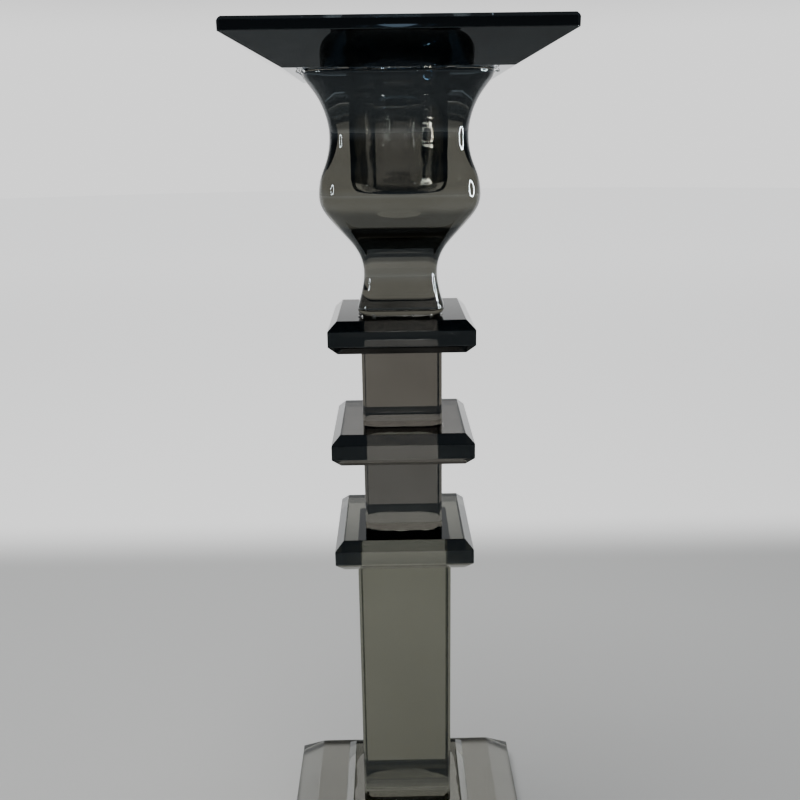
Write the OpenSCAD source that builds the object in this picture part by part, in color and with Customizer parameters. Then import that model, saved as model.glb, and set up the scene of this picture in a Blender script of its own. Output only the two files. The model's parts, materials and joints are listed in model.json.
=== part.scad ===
// Square smoked-glass candlestick for one taper candle.
// Ground glass slabs and blocks and one pressed glass cup, stacked on one axis and
// held together by thin films of clear cured adhesive. Nothing on it moves.
// Units are millimetres, +Z is up, and the origin is the middle of the underside.

/* [Tiers] */
// Width of each square tier slab
tier_w = 36; // [32:0.5:42]
// Thickness of each tier slab
tier_h = 8.2; // [7:0.1:10]
// Width and height of the 45 degree bevel along a tier's top and bottom edges
tier_bevel = 2.2; // [1:0.1:3]

/* [Stem] */
// Width of the two short square blocks between the tiers
block_w = 20.3; // [16:0.1:22]
// Height of each short block
block_h = 20.6; // [12:0.1:30]
// Width of the long square column
column_w = 24.8; // [22:0.1:27]
// Height of the column
column_h = 76.4; // [50:0.1:120]
// Width of the small chamfer on the blocks' and column's upright edges
upright_chamfer = 0.6; // [0.2:0.1:1.2]

/* [Base] */
// Width of the square base slab
base_w = 70; // [62:0.5:80]
// Thickness of the base slab
base_h = 12; // [11:0.1:16]
// Width and height of the 45 degree bevel round the base slab's top
base_bevel = 7.8; // [4:0.1:9]
// Chamfer round the base slab's underside
base_foot_chamfer = 0.8; // [0.2:0.1:1.5]

/* [Drip tray] */
// Width of the square drip tray at its rim
tray_w = 73.2; // [64:0.2:80]
// Thickness of the drip tray
tray_h = 9.1; // [7:0.1:12]
// Width of the flat square face under the tray
tray_seat_w = 50.2; // [48:0.2:56]
// Height of the upright edge of the tray's rim, with its chamfer
tray_rim_h = 2.8; // [1.5:0.1:4]
// Chamfer along the rim's top edge and on its four corners
tray_chamfer = 0.8; // [0.3:0.1:1.2]
// Diameter of the hole through the tray
tray_hole_d = 24.3; // [23.8:0.1:26]

/* [Candle cup] */
// Height of the pressed cup
cup_h = 56.9; // [50:0.1:70]
// Width of the cup where it meets the tray
cup_top_w = 43.2; // [41:0.2:47]
// Width of the cup at its upper neck
cup_neck_w = 32.5; // [30:0.1:36]
// Width of the cup at its belly
cup_belly_w = 38; // [35:0.2:42]
// Width of the cup at its waist
cup_waist_w = 18.2; // [16:0.1:22]
// Width of the cup at its foot
cup_foot_w = 21.8; // [20:0.2:26]
// Share of the cup's half width that its rounded corners take up
cup_corner_share = 0.26; // [0.15:0.01:0.5]
// Diameter of the candle socket
socket_d = 23.5; // [22:0.1:24]
// Depth of the candle socket, measured from the top of the cup
socket_depth = 27.5; // [20:0.5:30]
// Radius between the socket's wall and its floor
socket_floor_r = 2; // [0.5:0.1:3]

/* [Adhesive] */
// Thickness of each cured adhesive film
bond_t = 0.1; // [0.05:0.01:0.3]
// How far each film stops short of the edge of the face that it holds
bond_inset = 0.4; // [0:0.1:1]

/* [Hidden] */

// Heights of the undersides, from the table up, with one adhesive film between pieces
base_step_z = base_h + bond_t;
column_z = base_step_z + tier_h + bond_t;
tier_lower_z = column_z + column_h + bond_t;
block_lower_z = tier_lower_z + tier_h + bond_t;
tier_middle_z = block_lower_z + block_h + bond_t;
block_upper_z = tier_middle_z + tier_h + bond_t;
tier_upper_z = block_upper_z + block_h + bond_t;
cup_z = tier_upper_z + tier_h + bond_t;
tray_z = cup_z + cup_h + bond_t;

// Width of a bond's corner radius as a share of its width
bond_corner_share = 0.12;
// Gap round the hole in the film under the tray
bond_hole_margin = 0.6;

// The cup's outline: height as a share of cup_h, half width, and how the half width
// changes with height there (0 at the neck, belly and waist, where it turns). It ends
// in a short upright lip under the tray.
cup_outline = [
    [0.000, cup_foot_w / 2 - 1.0, 1.2],
    [0.025, cup_foot_w / 2, 0.1],
    [0.055, cup_foot_w / 2 - 0.45, -0.28],
    [0.180, cup_waist_w / 2, 0],
    [0.319, cup_waist_w / 2 + 2.9, 0.8],
    [0.438, cup_belly_w / 2 - 1.55, 0.72],
    [0.516, cup_belly_w / 2, 0],
    [0.621, cup_belly_w / 2 - 1.15, -0.44],
    [0.758, cup_neck_w / 2, 0],
    [0.880, cup_neck_w / 2 + 1.6, 0.44],
    [0.968, cup_top_w / 2 - 0.4, 0.8],
    [1.000, cup_top_w / 2, 0.1],
];
cup_rings = 57;
cup_corner_steps = 8;

// Cubic curve between two stations, from their values, slopes and spacing
function hermite(a, b, slope_a, slope_b, span, t) =
    (2 * pow(t, 3) - 3 * pow(t, 2) + 1) * a
    + (pow(t, 3) - 2 * pow(t, 2) + t) * span * slope_a
    + (3 * pow(t, 2) - 2 * pow(t, 3)) * b
    + (pow(t, 3) - pow(t, 2)) * span * slope_b;

// Half width of the cup at a share of its height
function cup_half_w(share, i = 0) =
    share > cup_outline[i + 1][0] && i < len(cup_outline) - 2
    ? cup_half_w(share, i + 1)
    : let (
        low = cup_outline[i],
        high = cup_outline[i + 1],
        span = high[0] - low[0]
    )
    hermite(low[1], high[1], low[2], high[2], span * cup_h, (share - low[0]) / span);

// Points round a square with round corners, at one height
function rounded_square_ring(half, r, steps, z) = [
    for (corner = [0:3], step = [0:steps])
        let (
            a = 90 * (corner + step / steps),
            quarter = 90 * corner + 45,
            reach = sqrt(2) * (half - r)
        )
        [reach * cos(quarter) + r * cos(a), reach * sin(quarter) + r * sin(a), z]
];

// A square slab with 45 degree bevels round its top and bottom edges
module bevelled_slab(w, h, top_bevel, bottom_bevel) {
    intersection_for (turn = [0, 90])
        rotate([90, 0, turn])
            linear_extrude(w, center = true)
                polygon([
                    [-w / 2 + bottom_bevel, 0],
                    [w / 2 - bottom_bevel, 0],
                    [w / 2, bottom_bevel],
                    [w / 2, h - top_bevel],
                    [w / 2 - top_bevel, h],
                    [-w / 2 + top_bevel, h],
                    [-w / 2, h - top_bevel],
                    [-w / 2, bottom_bevel],
                ]);
}

// A square with its four corners cut off
module clipped_square(w, cut) {
    polygon([
        for (corner = [0:3], side = [0, 1])
            let (
                across = w / 2 - (side == 0 ? 0 : cut),
                up = w / 2 - (side == 0 ? cut : 0)
            )
            [
                cos(90 * corner) * across - sin(90 * corner) * up,
                sin(90 * corner) * across + cos(90 * corner) * up,
            ]
    ]);
}

// A square prism with small chamfers on its upright edges
module square_prism(w, h) {
    linear_extrude(h)
        clipped_square(w, upright_chamfer);
}

// A tier slab with its underside at height z
module tier(z) {
    translate([0, 0, z])
        bevelled_slab(tier_w, tier_h, tier_bevel, tier_bevel);
}

// A thin square film of adhesive with round corners, filling the gap above height z
module bond(z, face_w) {
    w = face_w - 2 * bond_inset;
    r = w * bond_corner_share;
    translate([0, 0, z])
        linear_extrude(bond_t)
            union() {
                square([w, w - 2 * r], center = true);
                square([w - 2 * r, w], center = true);
                for (x = [-1, 1], y = [-1, 1])
                    translate([x * (w / 2 - r), y * (w / 2 - r)])
                        circle(r, $fn = 32);
            }
}

module drip_tray() {
    color([0.20, 0.24, 0.27, 0.6])
        translate([0, 0, tray_z])
            difference() {
                intersection() {
                    intersection_for (turn = [0, 90])
                        rotate([90, 0, turn])
                            linear_extrude(tray_w, center = true)
                                polygon([
                                    [-tray_seat_w / 2, 0],
                                    [tray_seat_w / 2, 0],
                                    [tray_w / 2, tray_h - tray_rim_h],
                                    [tray_w / 2, tray_h - tray_chamfer],
                                    [tray_w / 2 - tray_chamfer, tray_h],
                                    [-tray_w / 2 + tray_chamfer, tray_h],
                                    [-tray_w / 2, tray_h - tray_chamfer],
                                    [-tray_w / 2, tray_h - tray_rim_h],
                                ]);
                    linear_extrude(tray_h)
                        clipped_square(tray_w, tray_chamfer);
                }
                translate([0, 0, -1])
                    cylinder(h = tray_h + 2, d = tray_hole_d, $fn = 96);
            }
}

// The solid outside of the cup: square rings with round corners, joined one to the next
module cup_body() {
    ring_n = 4 * (cup_corner_steps + 1);
    points = [
        for (i = [0:cup_rings])
            let (share = i / cup_rings, half = cup_half_w(share))
            each rounded_square_ring(half, half * cup_corner_share, cup_corner_steps, share * cup_h)
    ];
    sides = [
        for (i = [0:cup_rings - 1], j = [0:ring_n - 1])
            let (next = (j + 1) % ring_n)
            [i * ring_n + j, (i + 1) * ring_n + j, (i + 1) * ring_n + next, i * ring_n + next]
    ];
    floor_face = [for (j = [0:ring_n - 1]) j];
    top_face = [for (j = [ring_n - 1:-1:0]) cup_rings * ring_n + j];
    polyhedron(points, concat([floor_face, top_face], sides), convexity = 6);
}

// The candle socket: a round hole whose floor meets its wall in a small radius
module socket_hole() {
    floor_steps = 8;
    rotate_extrude($fn = 96)
        polygon(concat(
            [[0, cup_h + 1], [0, cup_h - socket_depth]],
            [
                for (i = [0:floor_steps])
                    let (a = 90 * i / floor_steps)
                    [
                        socket_d / 2 - socket_floor_r * (1 - sin(a)),
                        cup_h - socket_depth + socket_floor_r * (1 - cos(a)),
                    ]
            ],
            [[socket_d / 2, cup_h + 1]]
        ));
}

module candle_cup() {
    color([0.36, 0.35, 0.31, 0.6])
        translate([0, 0, cup_z])
            difference() {
                cup_body();
                socket_hole();
            }
}

module tier_upper() {
    color([0.10, 0.10, 0.11, 0.7])
        tier(tier_upper_z);
}

module tier_middle() {
    color([0.10, 0.10, 0.11, 0.7])
        tier(tier_middle_z);
}

module tier_lower() {
    color([0.10, 0.10, 0.11, 0.7])
        tier(tier_lower_z);
}

module stem_block_upper() {
    color([0.38, 0.37, 0.33, 0.6])
        translate([0, 0, block_upper_z])
            square_prism(block_w, block_h);
}

module stem_block_lower() {
    color([0.38, 0.37, 0.33, 0.6])
        translate([0, 0, block_lower_z])
            square_prism(block_w, block_h);
}

module column() {
    color([0.37, 0.36, 0.32, 0.6])
        translate([0, 0, column_z])
            square_prism(column_w, column_h);
}

module base_step() {
    color([0.25, 0.25, 0.24, 0.7])
        tier(base_step_z);
}

module base_slab() {
    color([0.40, 0.41, 0.38, 0.7])
        bevelled_slab(base_w, base_h, base_bevel, base_foot_chamfer);
}

module bond_tray() {
    color([0.80, 0.80, 0.78, 0.4])
        difference() {
            bond(tray_z - bond_t, cup_top_w);
            translate([0, 0, tray_z - bond_t - 1])
                cylinder(h = bond_t + 2, d = tray_hole_d + 2 * bond_hole_margin, $fn = 96);
        }
}

module bond_cup_foot() {
    color([0.80, 0.80, 0.78, 0.4])
        bond(cup_z - bond_t, 2 * cup_half_w(0));
}

module bond_upper_block_top() {
    color([0.80, 0.80, 0.78, 0.4])
        bond(tier_upper_z - bond_t, block_w);
}

module bond_upper_block_foot() {
    color([0.80, 0.80, 0.78, 0.4])
        bond(block_upper_z - bond_t, block_w);
}

module bond_lower_block_top() {
    color([0.80, 0.80, 0.78, 0.4])
        bond(tier_middle_z - bond_t, block_w);
}

module bond_lower_block_foot() {
    color([0.80, 0.80, 0.78, 0.4])
        bond(block_lower_z - bond_t, block_w);
}

module bond_column_top() {
    color([0.80, 0.80, 0.78, 0.4])
        bond(tier_lower_z - bond_t, column_w);
}

module bond_column_foot() {
    color([0.80, 0.80, 0.78, 0.4])
        bond(column_z - bond_t, column_w);
}

module bond_base() {
    color([0.80, 0.80, 0.78, 0.4])
        bond(base_step_z - bond_t, tier_w - 2 * tier_bevel);
}

drip_tray();
candle_cup();
tier_upper();
tier_middle();
tier_lower();
stem_block_upper();
stem_block_lower();
column();
base_step();
base_slab();
bond_tray();
bond_cup_foot();
bond_upper_block_top();
bond_upper_block_foot();
bond_lower_block_top();
bond_lower_block_foot();
bond_column_top();
bond_column_foot();
bond_base();
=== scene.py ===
"""Looks for the smoked-glass candlestick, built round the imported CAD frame.

Each glass piece is a closed solid of tinted glass with ground edges. Where a film of adhesive joins two
pieces, their faces don't bend or mirror light, as in a real bonded joint.
"""

import json
import math
import random

import bmesh
import bpy
from mathutils import Matrix, Vector, noise


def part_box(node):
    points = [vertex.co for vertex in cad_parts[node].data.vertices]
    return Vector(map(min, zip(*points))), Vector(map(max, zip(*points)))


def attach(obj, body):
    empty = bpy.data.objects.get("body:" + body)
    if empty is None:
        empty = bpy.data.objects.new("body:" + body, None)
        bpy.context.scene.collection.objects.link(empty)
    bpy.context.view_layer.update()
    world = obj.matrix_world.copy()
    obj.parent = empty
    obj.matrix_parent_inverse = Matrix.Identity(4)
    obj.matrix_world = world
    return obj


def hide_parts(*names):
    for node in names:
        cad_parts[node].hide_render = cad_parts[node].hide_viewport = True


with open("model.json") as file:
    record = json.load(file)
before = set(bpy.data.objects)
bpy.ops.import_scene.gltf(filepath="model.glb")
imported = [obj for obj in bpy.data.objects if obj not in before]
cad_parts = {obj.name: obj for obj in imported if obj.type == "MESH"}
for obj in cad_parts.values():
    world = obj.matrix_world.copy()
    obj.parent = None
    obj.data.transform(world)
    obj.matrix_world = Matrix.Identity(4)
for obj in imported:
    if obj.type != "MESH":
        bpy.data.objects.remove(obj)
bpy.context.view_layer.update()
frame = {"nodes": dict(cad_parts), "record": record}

MM = 0.001

# ---------------------------------------------------------------- camera

# The photograph's view: from in front, a little below the tray, looking down
CAMERA_PLACE = Vector((-2.45, -227.5, 204.4)) * MM
CAMERA_DOWN, CAMERA_TURN, CAMERA_ROLL = map(math.radians, (16.16, 0.49, 0.79))
LENS_MM = 39.9


def add_camera():
    forward = Vector((
        math.sin(CAMERA_TURN) * math.cos(CAMERA_DOWN),
        math.cos(CAMERA_TURN) * math.cos(CAMERA_DOWN),
        -math.sin(CAMERA_DOWN),
    ))
    level = Vector((math.cos(CAMERA_TURN), -math.sin(CAMERA_TURN), 0))
    upright = level.cross(forward)
    right = math.cos(CAMERA_ROLL) * level - math.sin(CAMERA_ROLL) * upright
    up = math.sin(CAMERA_ROLL) * level + math.cos(CAMERA_ROLL) * upright
    data = bpy.data.cameras.new("camera")
    data.lens = LENS_MM
    data.clip_start = 0.01
    data.clip_end = 50
    camera = bpy.data.objects.new("camera", data)
    turn = Matrix((right, up, -forward)).transposed().to_4x4()
    camera.matrix_world = Matrix.Translation(CAMERA_PLACE) @ turn
    bpy.context.scene.collection.objects.link(camera)
    bpy.context.scene.camera = camera


# ---------------------------------------------------------------- node helpers


def new_tree(name):
    material = bpy.data.materials.new(name)
    material.use_nodes = True
    tree = material.node_tree
    tree.nodes.clear()
    return material, tree


def put(tree, socket, value):
    if isinstance(value, bpy.types.NodeSocket):
        tree.links.new(value, socket)
    else:
        socket.default_value = value


def math_node(tree, operation, *values):
    node = tree.nodes.new("ShaderNodeMath")
    node.operation = operation
    for socket, value in zip(node.inputs, values):
        put(tree, socket, value)
    return node.outputs[0]


def noise_node(tree, place, scale, detail, roughness):
    node = tree.nodes.new("ShaderNodeTexNoise")
    put(tree, node.inputs["Vector"], place)
    node.inputs["Scale"].default_value = scale
    node.inputs["Detail"].default_value = detail
    node.inputs["Roughness"].default_value = roughness
    return node.outputs["Fac"]


def spread(tree, value, low, high, to_low, to_high):
    """A smooth change from to_low to to_high as the value goes from low to high."""
    node = tree.nodes.new("ShaderNodeMapRange")
    node.interpolation_type = "SMOOTHSTEP"
    for name, number in (("From Min", low), ("From Max", high), ("To Min", to_low), ("To Max", to_high)):
        node.inputs[name].default_value = number
    put(tree, node.inputs["Value"], value)
    return node.outputs["Result"]


def mottled(tree, place, kind):
    """The noise of one kind, spread between its two values."""
    noise_settings, levels = kind
    return spread(tree, noise_node(tree, place, *noise_settings), *levels)


def stretched(tree, place, x, y, z):
    node = tree.nodes.new("ShaderNodeVectorMath")
    node.operation = "MULTIPLY"
    put(tree, node.inputs[0], place)
    node.inputs[1].default_value = (x, y, z)
    return node.outputs[0]


def split(tree, place):
    """The x, y and z of a place or a direction."""
    node = tree.nodes.new("ShaderNodeSeparateXYZ")
    put(tree, node.inputs[0], place)
    return list(node.outputs)


def distance_from_axis(tree, axes):
    squares = [math_node(tree, "MULTIPLY", axis, axis) for axis in axes[:2]]
    return math_node(tree, "SQRT", math_node(tree, "ADD", *squares))


# ---------------------------------------------------------------- glass

GLASS_IOR = 1.5
BOND_NODES = [n for n in frame["nodes"] if n.startswith("bond_")]
JOINT_REACH = 0.2 * MM  # how far from a film's middle a bonded face may lie
TRAY_FILM_HOLE = 12.75 * MM

# How square each film's puddle is: |x|^p + |y|^p < 1 is a circle at 2 and nearly a square at 8
PUDDLE_POWER = {
    "bond_column_foot": 2.3,
    "bond_lower_block_foot": 4.5,
    "bond_upper_block_foot": 4.0,
    "bond_cup_foot": 4.0,
}
USUAL_POWER = 9.0

# Each kind is a noise's scale, detail and roughness, then the range of it that is used and the two values
# that the range's ends stand for
RAGGED_EDGE = (240.0, 2.0, 0.5), (0.3, 0.7, -0.25, 0.12)
STAIN_DRIFT = (45.0, 3.0, 0.5), (0.3, 0.7, 0.0, 0.025)
GLOSS = (70.0, 4.0, 0.6), (0.45, 0.75, 0.003, 0.03)
GRINDING = (300.0, 3.0, 0.6), (0.3, 0.7, 0.0042, 0.0072)
GRINDING_STRETCH = (1, 1, 6)  # the marks run round the bore
BORE_FLOW = (700.0, 4.0, 0.65)  # a noise without its values, for bump
BORE_FLOW_STRETCH = (1, 1, 0.35)  # these run up and down it
BORE_FLOW_DEPTH = 0.025 * MM

BORE_CLEARNESS = 0.45  # how far a bore's skin is from the outer skin's stain towards clear
FULL_MIRROR = 0.995  # past this, light inside the glass bounces off its skin whole
INNER_DIMMING = 0.5  # what such a bounce leaves of the light is the stain to this power
COOL_SHEEN = (0.80, 0.93, 1.0, 1)


def joints_of(low_z, high_z):
    """The films that touch a piece between these heights: (height, half width, power, hole) of each."""
    found = []
    for name in BOND_NODES:
        low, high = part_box(name)
        z, half = (low[2] + high[2]) / 2, (high[0] - low[0]) / 2
        if low_z - JOINT_REACH < z < high_z + JOINT_REACH:
            hole = TRAY_FILM_HOLE if name == "bond_tray" else 0
            found.append((z, half, PUDDLE_POWER.get(name, USUAL_POWER), hole))
    return found


def bonded(tree, place, axes, joints):
    """1 on the faces that an adhesive film wets, and 0 elsewhere."""
    total = 0.0
    ragged = mottled(tree, place, RAGGED_EDGE)
    for z, half, power, hole in joints:
        shares = [math_node(tree, "ABSOLUTE", math_node(tree, "DIVIDE", axis, half)) for axis in axes[:2]]
        powers = [math_node(tree, "POWER", share, power) for share in shares]
        edge = math_node(tree, "ADD", math_node(tree, "ADD", *powers), ragged)
        here = math_node(tree, "LESS_THAN", edge, 1.0)
        here = math_node(tree, "MULTIPLY", here, math_node(tree, "COMPARE", axes[2], z, JOINT_REACH))
        if hole:
            outside = math_node(tree, "GREATER_THAN", distance_from_axis(tree, axes), hole)
            here = math_node(tree, "MULTIPLY", here, outside)
        total = math_node(tree, "ADD", total, here)
    return total


def in_bore(tree, axes, radius, low_z):
    """1 on the wall and floor of a bore on the axis, and 0 elsewhere."""
    near = math_node(tree, "LESS_THAN", distance_from_axis(tree, axes), radius)
    return math_node(tree, "MULTIPLY", near, math_node(tree, "GREATER_THAN", axes[2], low_z))


def tint(tree, per_mm):
    """Glass that takes these shares, in red, green and blue, out of the light over each millimetre."""
    absorb = tree.nodes.new("ShaderNodeVolumeAbsorption")
    absorb.inputs["Density"].default_value = max(per_mm) / MM
    absorb.inputs["Color"].default_value = (*[1 - share / max(per_mm) for share in per_mm], 1)
    return absorb.outputs[0]


def glass(name, stain, per_mm, joints, bore=None):
    """Smoked glass: stain is what its two outer skins let through together, and per_mm what its body takes.

    A bonded face has no stained skin. A stained one also dims the light that it mirrors back inside. bore
    is (radius, lowest z, top of its floor) of a ground bore on the axis, whose skin is stained less.
    """
    material, tree = new_tree(name)
    place = tree.nodes.new("ShaderNodeTexCoord").outputs["Object"]
    axes = split(tree, place)
    mask = bonded(tree, place, axes, joints)
    bend = math_node(tree, "MULTIPLY_ADD", mask, 1 - GLASS_IOR, GLASS_IOR)
    mirror = tree.nodes.new("ShaderNodeFresnel")
    put(tree, mirror.inputs["IOR"], bend)
    dims = math_node(tree, "GREATER_THAN", mirror.outputs[0], FULL_MIRROR)
    drift = mottled(tree, place, STAIN_DRIFT)
    clear = math_node(tree, "ADD", mask, drift)
    rough = mottled(tree, place, GLOSS)
    shader = tree.nodes.new("ShaderNodeBsdfPrincipled")

    if bore:
        radius, low_z, floor_top = bore
        inside = in_bore(tree, axes, radius, low_z)
        thin = math_node(tree, "MULTIPLY", inside, BORE_CLEARNESS)
        clear = math_node(tree, "MAXIMUM", mask, math_node(tree, "ADD", thin, drift))
        ground = mottled(tree, stretched(tree, place, *GRINDING_STRETCH), GRINDING)
        rough = math_node(tree, "ADD", rough, math_node(tree, "MULTIPLY", inside, ground))
        flow = noise_node(tree, stretched(tree, place, *BORE_FLOW_STRETCH), *BORE_FLOW)
        bump = tree.nodes.new("ShaderNodeBump")
        bump.inputs["Distance"].default_value = BORE_FLOW_DEPTH
        put(tree, bump.inputs["Height"], math_node(tree, "MULTIPLY", flow, inside))
        put(tree, shader.inputs["Normal"], bump.outputs[0])
        on_floor = math_node(tree, "MULTIPLY", inside, math_node(tree, "LESS_THAN", axes[2], floor_top))
        dims = math_node(tree, "MULTIPLY", dims, math_node(tree, "SUBTRACT", 1.0, on_floor))

    skin = tree.nodes.new("ShaderNodeMix")
    skin.data_type = "RGBA"
    skin.clamp_factor = True
    skin.inputs["A"].default_value = (*stain, 1)
    skin.inputs["B"].default_value = (1, 1, 1, 1)
    put(tree, skin.inputs["Factor"], clear)

    put(tree, shader.inputs["Base Color"], skin.outputs["Result"])
    put(tree, shader.inputs["Roughness"], rough)
    shader.inputs["IOR"].default_value = GLASS_IOR
    put(tree, shader.inputs["IOR"], bend)
    shader.inputs["Transmission Weight"].default_value = 1.0
    shader.inputs["Specular Tint"].default_value = COOL_SHEEN
    put(tree, shader.inputs["Coat Weight"], dims)
    shader.inputs["Coat IOR"].default_value = 1.0
    shader.inputs["Coat Roughness"].default_value = 0.0
    shader.inputs["Coat Tint"].default_value = (*[share**INNER_DIMMING for share in stain], 1)
    out = tree.nodes.new("ShaderNodeOutputMaterial")
    put(tree, out.inputs["Surface"], shader.outputs[0])
    put(tree, out.inputs["Volume"], tint(tree, per_mm))
    return material


# ---------------------------------------------------------------- cut pieces

# Each glass: what its skins let through, then what its body takes per millimetre, in red, green and blue
USUAL_BODY = (0.006, 0.006, 0.007)
DEEP_BODY = (0.010, 0.010, 0.011)
BLOCK_UPPER = ((0.072, 0.064, 0.052), USUAL_BODY)
BLOCK_LOWER = ((0.054, 0.050, 0.043), USUAL_BODY)
COLUMN = ((0.235, 0.231, 0.177), USUAL_BODY)
TIER_UPPER = ((0.005, 0.0048, 0.0042), USUAL_BODY)
TIER_MIDDLE = ((0.080, 0.076, 0.069), USUAL_BODY)
TIER_LOWER = ((0.145, 0.145, 0.125), DEEP_BODY)
TRAY = ((0.06, 0.09, 0.12), (0.020, 0.018, 0.016))
BASE = ((0.50, 0.50, 0.47), DEEP_BODY)
CUP = ((0.077, 0.075, 0.062), (0.004, 0.004, 0.005))
CUT_GLASS = {
    "base_slab": BASE,
    "base_step": BASE,
    "column": COLUMN,
    "tier_lower": TIER_LOWER,
    "stem_block_lower": BLOCK_LOWER,
    "tier_middle": TIER_MIDDLE,
    "stem_block_upper": BLOCK_UPPER,
    "tier_upper": TIER_UPPER,
    "drip_tray": TRAY,
}

ARRIS = 0.12 * MM  # how far a sharp edge is ground back
ARRIS_STEPS = 2
WELD_DISTANCE = 1e-6
FLAT_ANGLE = math.radians(1)
SHARP_ANGLE = math.radians(20)


def mesh_of(work, name):
    mesh = bpy.data.meshes.new(name)
    work.to_mesh(mesh)
    work.free()
    return mesh


def add_piece(name, mesh, material, node):
    piece = bpy.data.objects.new(name, mesh)
    bpy.context.scene.collection.objects.link(piece)
    mesh.materials.append(material)
    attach(piece, "root")
    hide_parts(node)


def ground_mesh(node):
    """The CAD node's own shape with every sharp edge ground off to a small arris."""
    work = bmesh.new()
    work.from_mesh(frame["nodes"][node].data)
    bmesh.ops.remove_doubles(work, verts=work.verts, dist=WELD_DISTANCE)
    bmesh.ops.dissolve_limit(work, angle_limit=FLAT_ANGLE, verts=work.verts, edges=work.edges)
    sharp = [e for e in work.edges if len(e.link_faces) == 2 and e.calc_face_angle(0) > SHARP_ANGLE]
    bmesh.ops.bevel(
        work, geom=sharp, offset=ARRIS, offset_type="OFFSET", segments=ARRIS_STEPS, profile=0.5,
        affect="EDGES", clamp_overlap=True,
    )
    return mesh_of(work, node)


def add_cut_glass():
    for node, (stain, per_mm) in CUT_GLASS.items():
        low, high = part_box(node)
        material = glass(f"{node}_glass", stain, per_mm, joints_of(low[2], high[2]))
        add_piece(f"{node}_glass", ground_mesh(node), material, node)


# ---------------------------------------------------------------- cup

CUP_LOW, CUP_HIGH = (corner[2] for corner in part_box("candle_cup"))
CUP_CORNER_SHARE = 0.26
CUP_RING_STEP = 0.45 * MM
CUP_WAVER = (0.0015, 80)  # depth, as a share of the width, and closeness
CUP_END_INSET = 0.1 * MM  # takes the sharpness off the cup's foot and its top edge
SMOOTHING_PASSES = 3
CUP_FLAT_POINTS = 16
CUP_CORNER_POINTS = 14

SOCKET = next(m for m in frame["record"]["mounts"] if m["name"] == "candle_socket")
SOCKET_R = SOCKET["dims"]["r_mm"] * MM
SOCKET_FLOOR_R = 2.0 * MM
SOCKET_FLOOR = CUP_HIGH - SOCKET["dims"]["length_mm"] * MM - SOCKET_FLOOR_R
SOCKET_WALL_STEPS = 70
SOCKET_FLOOR_STEPS = 8
SOCKET_FLOOR_RINGS = (0.6, 0.3, 0.1)
# The bore's unevenness: how fast it changes round the bore and up it, then its depth, as a share of the
# radius, and closeness
BORE_SWELLS = (1.0, 110, 0.012, 1.7)
BORE_RINGS = (0.6, 900, 0.0025, 1.9)
BORE_DENTS = (3.0, 500, 0.0012, 1.6)
# A cylinder just round the socket, which tells its surface from the cup's outside
NEAR_SOCKET_R = SOCKET_R * 1.03
NEAR_SOCKET_FLOOR = SOCKET_FLOOR - 0.1 * MM


def cup_outline():
    """(height, half width) up the outside of the cup, from the CAD solid's own rings."""
    widest = {}
    for v in frame["nodes"]["candle_cup"].data.vertices:
        if math.hypot(v.co.x, v.co.y) > NEAR_SOCKET_R or v.co.z < NEAR_SOCKET_FLOOR:
            key = round(v.co.z, 6)
            widest[key] = max(widest.get(key, 0), abs(v.co.x))
    return sorted(widest.items())


def eased(points, z):
    """The half width at height z, on a smooth curve through the points."""
    last = len(points) - 2
    i = next((k for k in range(last) if points[k + 1][0] >= z), last)
    (z0, w0), (z1, w1) = points[i], points[i + 1]
    before, after = points[max(i - 1, 0)], points[min(i + 2, last + 1)]
    slope0 = (w1 - before[1]) / (z1 - before[0])
    slope1 = (after[1] - w0) / (after[0] - z0)
    t, span = (z - z0) / (z1 - z0), z1 - z0
    return (
        (2 * t**3 - 3 * t**2 + 1) * w0 + (t**3 - 2 * t**2 + t) * span * slope0
        + (3 * t**2 - 2 * t**3) * w1 + (t**3 - t**2) * span * slope1
    )


def smoothed(values):
    """The values, evened out a few times with their neighbours, ends kept."""
    for _ in range(SMOOTHING_PASSES):
        inner = [(a + 2 * b + c) / 4 for a, b, c in zip(values, values[1:], values[2:])]
        values = [values[0], *inner, values[-1]]
    return values


def rounded_square(half):
    """Points round a square with the cup's round corners, anticlockwise from the +X side's lower end."""
    corner = CUP_CORNER_SHARE * half
    straight = half - corner
    points = []
    for quarter in range(4):
        turn = Matrix.Rotation(quarter * math.pi / 2, 2)
        for k in range(CUP_FLAT_POINTS):
            points.append(turn @ Vector((half, -straight + 2 * straight * k / CUP_FLAT_POINTS)))
        for k in range(CUP_CORNER_POINTS):
            angle = math.pi / 2 * k / CUP_CORNER_POINTS
            arc = Vector((math.cos(angle), math.sin(angle))) * corner
            points.append(turn @ (Vector((straight, straight)) + arc))
    return points


def ring_of(work, points, z):
    return [work.verts.new((p.x, p.y, z)) for p in points]


def bridge(work, ring_a, ring_b, smooth=True):
    count = len(ring_a)
    for i in range(count):
        j = (i + 1) % count
        face = work.faces.new((ring_a[i], ring_a[j], ring_b[j], ring_b[i]))
        face.smooth = smooth


def waver(p, z, depth, closeness):
    """A slow wander in and out, as pressed glass has."""
    return 1 + depth * noise.noise(Vector((p.x, p.y, z)) * closeness)


def bore_waver(p, z):
    """The bore's slow swells, the fine rings that its plunger left, and small dents."""
    share = 1.0
    for across, up, depth, closeness in (BORE_SWELLS, BORE_RINGS, BORE_DENTS):
        share *= waver(p * across, z * up, depth, closeness)
    return share


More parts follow.
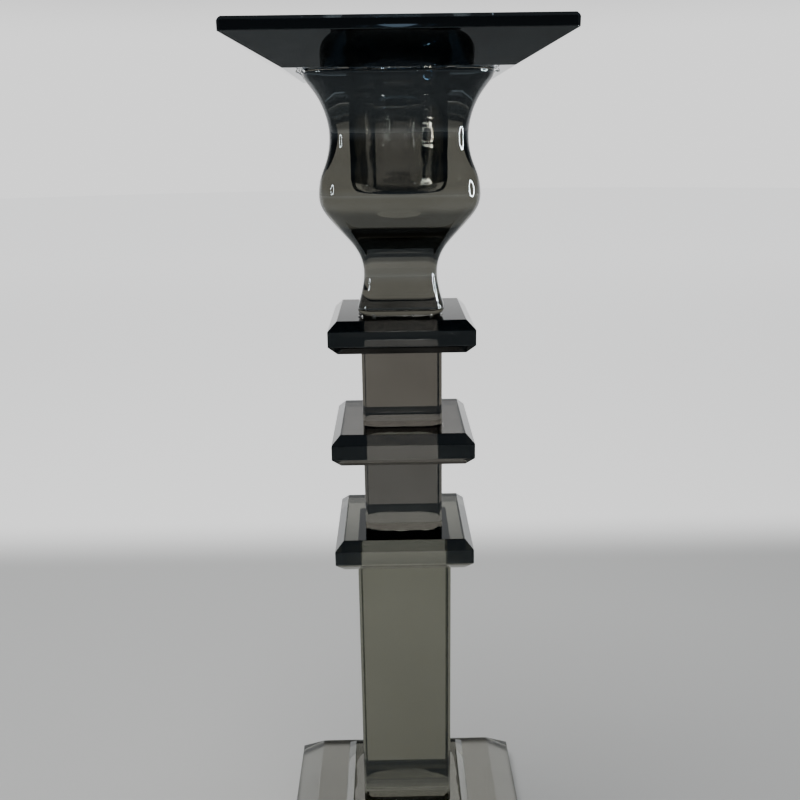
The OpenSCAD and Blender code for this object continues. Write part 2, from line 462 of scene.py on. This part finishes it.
def outer_rings(work):
    """The rings of the cup's outside, from its foot up."""
    outline = cup_outline()
    steps = round((CUP_HIGH - CUP_LOW) / CUP_RING_STEP)
    heights = [CUP_LOW + (CUP_HIGH - CUP_LOW) * k / steps for k in range(steps + 1)]
    halves = smoothed([eased(outline, z) for z in heights])
    halves[0] -= CUP_END_INSET
    halves[-1] -= CUP_END_INSET
    rings = []
    for z, half in zip(heights, halves):
        points = [p * waver(p, z, *CUP_WAVER) for p in rounded_square(half)]
        rings.append(ring_of(work, points, z))
    return rings


def socket_rings(work):
    """The rings of the candle socket: down its wall, round its floor's radius and in across its floor."""
    unit = [p.normalized() for p in rounded_square(1.0)]
    rings = []
    for k in range(SOCKET_WALL_STEPS + 1):
        z = CUP_HIGH + (SOCKET_FLOOR + SOCKET_FLOOR_R - CUP_HIGH) * k / SOCKET_WALL_STEPS
        points = [p * SOCKET_R * bore_waver(p, z) for p in unit]
        rings.append(ring_of(work, points, z))
    for k in range(1, SOCKET_FLOOR_STEPS + 1):
        angle = math.pi / 2 * k / SOCKET_FLOOR_STEPS
        radius = SOCKET_R - SOCKET_FLOOR_R * (1 - math.cos(angle))
        z = SOCKET_FLOOR + SOCKET_FLOOR_R * (1 - math.sin(angle))
        rings.append(ring_of(work, [p * radius for p in unit], z))
    for share in SOCKET_FLOOR_RINGS:
        rings.append(ring_of(work, [p * SOCKET_R * share for p in unit], SOCKET_FLOOR))
    return rings


def cup_mesh():
    work = bmesh.new()
    rings = outer_rings(work)
    for a, b in zip(rings, rings[1:]):
        bridge(work, a, b)
    work.faces.new(list(reversed(rings[0])))
    wall = socket_rings(work)
    bridge(work, rings[-1], wall[0], smooth=False)
    for a, b in zip(wall, wall[1:]):
        bridge(work, a, b)
    work.faces.new(wall[-1])
    for ring in (rings[0], rings[-1], wall[0]):
        for i, v in enumerate(ring):
            edge = work.edges.get((v, ring[(i + 1) % len(ring)]))
            edge.smooth = False
    bmesh.ops.recalc_face_normals(work, faces=work.faces)
    return mesh_of(work, "candle_cup")


def add_cup():
    bore = (NEAR_SOCKET_R, NEAR_SOCKET_FLOOR, NEAR_SOCKET_FLOOR + SOCKET_FLOOR_R)
    material = glass("candle_cup_glass", *CUP, joints_of(CUP_LOW, CUP_HIGH), bore)
    add_piece("candle_cup_glass", cup_mesh(), material, "candle_cup")


# ---------------------------------------------------------------- adhesive

FILM_THICKNESS_SHARE = 0.5  # keeps a film clear of the glass on both sides


def film_material():
    material, tree = new_tree("clear_adhesive")
    shader = tree.nodes.new("ShaderNodeBsdfPrincipled")
    shader.inputs["Base Color"].default_value = (1, 1, 1, 1)
    shader.inputs["Transmission Weight"].default_value = 1.0
    shader.inputs["Roughness"].default_value = 0.02
    shader.inputs["IOR"].default_value = 1.0
    out = tree.nodes.new("ShaderNodeOutputMaterial")
    put(tree, out.inputs["Surface"], shader.outputs[0])
    return material


def add_films():
    material = film_material()
    for node in BOND_NODES:
        low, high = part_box(node)
        mesh = frame["nodes"][node].data.copy()
        middle = (low[2] + high[2]) / 2
        for v in mesh.vertices:
            v.co.z = middle + (v.co.z - middle) * FILM_THICKNESS_SHARE
        mesh.materials.clear()
        add_piece(f"{node}_film", mesh, material, node)


BEAD_SEED = 7
BEAD_OUT = 0.75 * MM  # how far outside its film a bead sits
BEAD_SIZES = (0.22 * MM, 0.62 * MM)
BEAD_DROPS = (0.3, 1.0)  # how far a bead's middle is below the tray's film, in its own sizes
BEAD_RISE = 0.55  # how far it is above any other film's underside, in its own sizes
BEAD_FLATNESS = 0.8
BEAD_LUMPS = (0.55, 1.1)  # depth and closeness
BEAD_GLOSS = (900.0, 2.0, 0.5), (0.35, 0.65, 0.04, 0.22)
# Where adhesive was squeezed out and set: joint, how many beads, first and last place round the joint
# (turns from the +X side, anticlockwise), and how much of the usual size
SQUEEZED_OUT = (
    ("bond_tray", 13, 0.49, 0.63, 1.0),
    ("bond_tray", 11, -0.12, 0.01, 1.0),
    ("bond_cup_foot", 12, 0.50, 0.66, 0.8),
    ("bond_cup_foot", 20, 0.60, 0.98, 0.5),
    ("bond_upper_block_foot", 4, 0.84, 0.90, 0.4),
)

# Runs of adhesive inside the bore: half widths, half lengths, how far below the tray their tops are, and
# how far round they are from the bore's front or back, in turns
RUN_COUNT = 14
RUN_WIDTHS = (0.22 * MM, 0.50 * MM)
RUN_LENGTHS = (0.8 * MM, 3.6 * MM)
RUN_DROPS = (0.3 * MM, 10 * MM)
RUN_PLACES = (-0.13, 0.13)
RUN_DEPTH = 0.5  # how thick a run is for its width
RUN_CLEAR = 0.18 * MM  # keeps it off the bore's uneven wall
RUN_LUMPS = (0.5, 1.6)  # depth and closeness
RUN_BEND = 0.8  # how far a run wanders sideways for its width
NOISE_STARTS = (0, 9)  # where in the noise a bead or a run may begin


def bead_material():
    material, tree = new_tree("set_adhesive")
    place = tree.nodes.new("ShaderNodeTexCoord").outputs["Object"]
    shader = tree.nodes.new("ShaderNodeBsdfPrincipled")
    shader.inputs["Base Color"].default_value = (0.93, 0.94, 0.93, 1)
    shader.inputs["Transmission Weight"].default_value = 1.0
    shader.inputs["IOR"].default_value = 1.46
    put(tree, shader.inputs["Roughness"], mottled(tree, place, BEAD_GLOSS))
    out = tree.nodes.new("ShaderNodeOutputMaterial")
    put(tree, out.inputs["Surface"], shader.outputs[0])
    return material


def edge_point(half, turn):
    """Where a ray at this turn from the axis meets a square of this half width."""
    way = Vector((math.cos(turn * 2 * math.pi), math.sin(turn * 2 * math.pi)))
    return way * half / max(abs(way.x), abs(way.y))


def noise_start(chance):
    return Vector([chance.uniform(*NOISE_STARTS) for _ in range(3)])


def add_bead(work, chance, node, turns, share):
    """A bead of adhesive that set just outside its film, somewhere between these turns."""
    low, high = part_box(node)
    size = share * chance.uniform(*BEAD_SIZES)
    spot = edge_point(high[0] + BEAD_OUT, chance.uniform(*turns))
    drop = size * chance.uniform(*BEAD_DROPS)
    z = low[2] - drop if node == "bond_tray" else low[2] + size * BEAD_RISE
    middle = Vector((spot.x, spot.y, z))
    shift = noise_start(chance)
    depth, closeness = BEAD_LUMPS
    for v in bmesh.ops.create_icosphere(work, subdivisions=2, radius=size)["verts"]:
        lump = 1 + depth * noise.noise(v.co / size * closeness + shift)
        v.co = middle + Vector((v.co.x, v.co.y, v.co.z * BEAD_FLATNESS)) * lump


def add_run(work, chance):
    """A run of adhesive that set on the bore's wall, below the tray's joint."""
    turn = 2 * math.pi * (chance.choice((0.25, 0.75)) + chance.uniform(*RUN_PLACES))
    outward = Vector((math.cos(turn), math.sin(turn), 0))
    along = Vector((-math.sin(turn), math.cos(turn), 0))
    width, length = chance.uniform(*RUN_WIDTHS), chance.uniform(*RUN_LENGTHS)
    middle = outward * (SOCKET_R - RUN_CLEAR - width * RUN_DEPTH)
    middle.z = CUP_HIGH - length - chance.uniform(*RUN_DROPS)
    shift = noise_start(chance)
    depth, closeness = RUN_LUMPS
    for v in bmesh.ops.create_icosphere(work, subdivisions=3, radius=1.0)["verts"]:
        lump = 1 + depth * noise.noise(v.co * closeness + shift)
        bend = RUN_BEND * width * noise.noise(Vector((v.co.z, 0, 0)) + shift)
        thick = outward * (v.co.x * width * RUN_DEPTH * lump)
        aside = along * (v.co.y * width * lump + bend)
        v.co = middle + thick + aside + Vector((0, 0, v.co.z * length))


def add_beads():
    chance = random.Random(BEAD_SEED)
    works = {}
    for node, count, first, last, share in SQUEEZED_OUT:
        work = works.setdefault(node, bmesh.new())
        for _ in range(count):
            add_bead(work, chance, node, (first, last), share)
    for _ in range(RUN_COUNT):
        add_run(works["bond_tray"], chance)
    material = bead_material()
    for node, work in works.items():
        for face in work.faces:
            face.smooth = True
        add_piece(f"{node}_beads", mesh_of(work, f"{node}_beads"), material, node)


# ---------------------------------------------------------------- floor

FLOOR_RADIUS = 4.0
FLOOR_DROP = 0.2 * MM  # keeps the floor clear of the base's underside
FLOOR_COLOUR = (0.565, 0.565, 0.555, 1)
# The floor brightens past this line behind the object, as if it ran up to a lit wall
BACKDROP_Y = 0.19
BASE_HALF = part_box("base_slab")[1][0]
# Where each glow of the floor begins and ends, then its strength at the two places. The last one is painted
# light: the floor under the base glows, standing in for the light that would come through the glass base.
WALL_GLOW = (BACKDROP_Y - 0.01, BACKDROP_Y + 0.05, 0.0, 0.80)
FAR_WALL_GLOW = (0.15, 1.5, 0.0, 0.34)
FAR_FLOOR_GLOW = (0.35, 2.0, 0.0, 0.75)
UNDER_BASE_PAINTED_GLOW = (BASE_HALF - 0.004, BASE_HALF - 0.001, 0.38, 0.0)


def add_floor():
    bpy.ops.mesh.primitive_circle_add(
        vertices=128, radius=FLOOR_RADIUS, fill_type="NGON", location=(0, 0, -FLOOR_DROP)
    )
    floor = bpy.context.object
    floor.name = "floor"
    material, tree = new_tree("pale_floor")
    axes = split(tree, tree.nodes.new("ShaderNodeTexCoord").outputs["Object"])
    lit = spread(tree, axes[1], *WALL_GLOW)
    lit = math_node(tree, "ADD", lit, spread(tree, axes[1], *FAR_WALL_GLOW))
    far = spread(tree, distance_from_axis(tree, axes), *FAR_FLOOR_GLOW)
    lit = math_node(tree, "MAXIMUM", lit, far)
    sides = [math_node(tree, "ABSOLUTE", axis) for axis in axes[:2]]
    # Painted light: a glow on the floor under the base, in place of light that comes through the glass
    painted_base_glow = spread(tree, math_node(tree, "MAXIMUM", *sides), *UNDER_BASE_PAINTED_GLOW)
    shader = tree.nodes.new("ShaderNodeBsdfPrincipled")
    shader.inputs["Base Color"].default_value = FLOOR_COLOUR
    shader.inputs["Roughness"].default_value = 0.55
    shader.inputs["Specular IOR Level"].default_value = 0.0
    shader.inputs["Emission Color"].default_value = (1, 1, 1, 1)
    put(tree, shader.inputs["Emission Strength"], math_node(tree, "MAXIMUM", lit, painted_base_glow))
    out = tree.nodes.new("ShaderNodeOutputMaterial")
    put(tree, out.inputs["Surface"], shader.outputs[0])
    floor.data.materials.append(material)


# ---------------------------------------------------------------- surroundings

# How each part of the surroundings changes with a direction's y, which is 1 straight back, or its z, which
# is 1 straight up: where the change begins and ends, then the level at the two places
BACK_SHARE = (0.30, 0.85, 0.0, 1.0)
WALL_LEVEL = (0.10, 0.21, 1.35, 0.60)
WALL_TOP_LOSS = (0.45, 0.65, 0.0, 0.50)
SEEN_THROUGH_LOSS = (0.31, 0.36, 0.0, 0.56)
DIM_ROOM_LEVEL = (-0.02, 0.16, 0.42, 0.10)
CEILING_GAIN = (0.5, 0.9, 0.0, 0.15)
PALE_ROOM_LEVEL = (0.25, 0.5, 0.95, 0.50)
DIM_ROOM_COLOUR = (0.89, 0.97, 1.06, 1)


def add_world():
    """A pale wall behind, and a room in front.

    Seen through the glass, the wall has a dark upper part. The room is pale, but dim in reflections.
    """
    world = bpy.data.worlds.new("studio")
    bpy.context.scene.world = world
    world.use_nodes = True
    tree = world.node_tree
    tree.nodes.clear()
    axes = split(tree, tree.nodes.new("ShaderNodeTexCoord").outputs["Generated"])
    path = tree.nodes.new("ShaderNodeLightPath").outputs
    behind = spread(tree, axes[1], *BACK_SHARE)

    seen_through = spread(tree, axes[2], *SEEN_THROUGH_LOSS)
    seen_through = math_node(tree, "MULTIPLY", path["Is Transmission Ray"], seen_through)
    loss = math_node(tree, "MAXIMUM", spread(tree, axes[2], *WALL_TOP_LOSS), seen_through)
    wall = math_node(tree, "SUBTRACT", spread(tree, axes[2], *WALL_LEVEL), loss)

    ceiling = spread(tree, axes[2], *CEILING_GAIN)
    dim_room = math_node(tree, "ADD", spread(tree, axes[2], *DIM_ROOM_LEVEL), ceiling)
    gain = math_node(tree, "SUBTRACT", spread(tree, axes[2], *PALE_ROOM_LEVEL), dim_room)
    plain = math_node(tree, "ADD", path["Is Camera Ray"], path["Is Transmission Ray"])
    room = math_node(tree, "MULTIPLY_ADD", plain, gain, dim_room)

    back = math_node(tree, "MULTIPLY", behind, wall)
    front = math_node(tree, "MULTIPLY", math_node(tree, "SUBTRACT", 1.0, behind), room)
    hue = tree.nodes.new("ShaderNodeMix")
    hue.data_type = "RGBA"
    put(tree, hue.inputs["Factor"], math_node(tree, "MAXIMUM", behind, plain))
    hue.inputs["A"].default_value = DIM_ROOM_COLOUR
    hue.inputs["B"].default_value = (1, 1, 1, 1)
    glow = tree.nodes.new("ShaderNodeBackground")
    put(tree, glow.inputs["Color"], hue.outputs["Result"])
    put(tree, glow.inputs["Strength"], math_node(tree, "ADD", back, front))
    out = tree.nodes.new("ShaderNodeOutputWorld")
    put(tree, out.inputs["Surface"], glow.outputs[0])


# ---------------------------------------------------------------- lights

RING_POINTS = 64


def hang(lamp, place, look_at):
    lamp.location = place
    lamp.rotation_euler = (Vector(look_at) - Vector(place)).to_track_quat("-Z", "Y").to_euler()
    lamp.visible_camera = False
    bpy.context.scene.collection.objects.link(lamp)


def add_soft_light(name, place, look_at, size, watts):
    """A square lamp that lights the scene but doesn't show in the glass."""
    light = bpy.data.lights.new(name, "AREA")
    light.energy = watts
    light.shape = "RECTANGLE"
    light.size = size
    light.size_y = size
    lamp = bpy.data.objects.new(name, light)
    lamp.visible_glossy = False
    lamp.visible_transmission = False
    hang(lamp, place, look_at)


def add_ring_light(name, place, look_at, radius, tube, strength):
    """A ring lamp. Its glints on the glass are rings; the soft light does the lighting."""
    work = bmesh.new()
    rings = []
    for r in (radius - tube / 2, radius + tube / 2):
        angles = [2 * math.pi * k / RING_POINTS for k in range(RING_POINTS)]
        rings.append([work.verts.new((r * math.cos(a), r * math.sin(a), 0)) for a in angles])
    bridge(work, *rings)
    mesh = mesh_of(work, name)
    material, tree = new_tree(f"{name}_glow")
    glow = tree.nodes.new("ShaderNodeEmission")
    glow.inputs["Strength"].default_value = strength
    out = tree.nodes.new("ShaderNodeOutputMaterial")
    put(tree, out.inputs["Surface"], glow.outputs[0])
    mesh.materials.append(material)
    ring = bpy.data.objects.new(name, mesh)
    ring.visible_diffuse = False
    ring.visible_shadow = False
    hang(ring, place, look_at)


def add_lights():
    add_soft_light("overhead", (-0.15, 0.05, 0.85), (0, 0, 0.12), size=0.6, watts=7.0)
    right, left = (0.43, -0.19, 0.24), (-0.45, -0.52, 0.30)
    add_ring_light("ring_right", right, (0, 0, 0.19), radius=0.12, tube=0.030, strength=120.0)
    add_ring_light("ring_left", left, (0, 0, 0.17), radius=0.10, tube=0.026, strength=45.0)


add_camera()
add_cut_glass()
add_cup()
add_films()
add_beads()
add_floor()
add_world()
add_lights()
